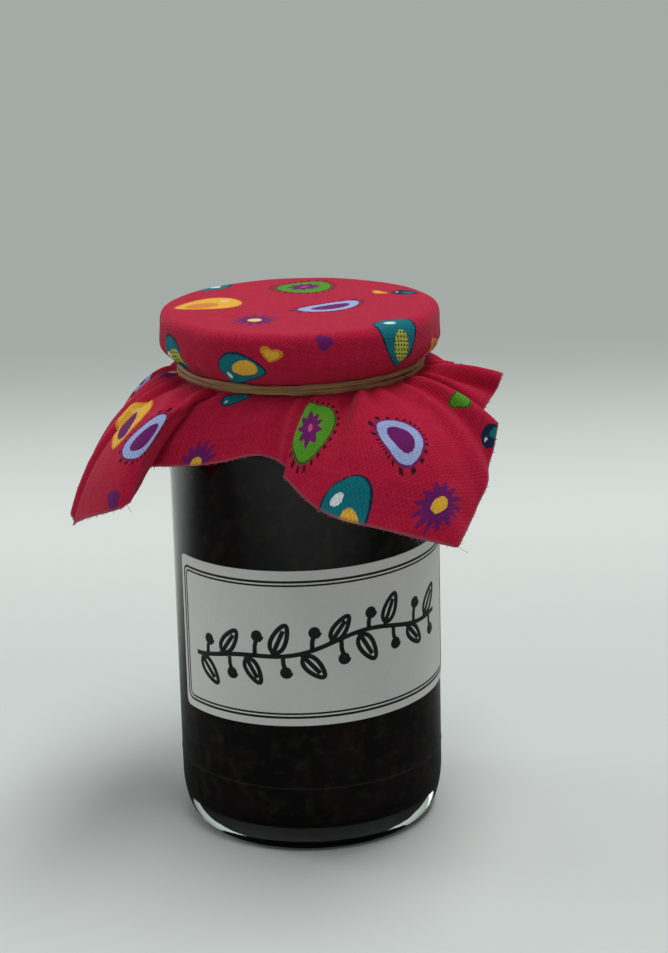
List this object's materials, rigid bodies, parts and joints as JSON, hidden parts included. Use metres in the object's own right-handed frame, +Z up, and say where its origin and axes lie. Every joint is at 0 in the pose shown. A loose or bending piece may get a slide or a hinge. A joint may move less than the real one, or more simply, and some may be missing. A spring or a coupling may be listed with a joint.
{
  "type": "jam jar",
  "caption": "Straight-sided glass jar of dark jam with a closed lid, a bordered paper label and a printed cotton cover tied round the neck.",
  "frame": {"origin": "on the jar's axis, in the plane of the ring that it stands on", "axes": "+Z up along the jar's axis; -Y is the front, where the label faces; +X is to the right of the front"},
  "size_m": [0.1306, 0.1261, 0.1661],
  "materials": {
    "glass": "clear, polished",
    "jam": "wet, nearly black berry jam",
    "lid": "lacquered tinplate",
    "label": "matt white with a thin black double border",
    "cloth": "plain-weave cotton, red with a scattered print, raw edges",
    "tie": "flat brown strand, lengthwise creases"
  },
  "bodies": {
    "root": {"glass_jar": "glass", "jam": "jam", "lid": "lid", "paper_label": "label", "cloth_cover": "cloth", "raffia_tie": "tie"}
  },
  "joints": []
}
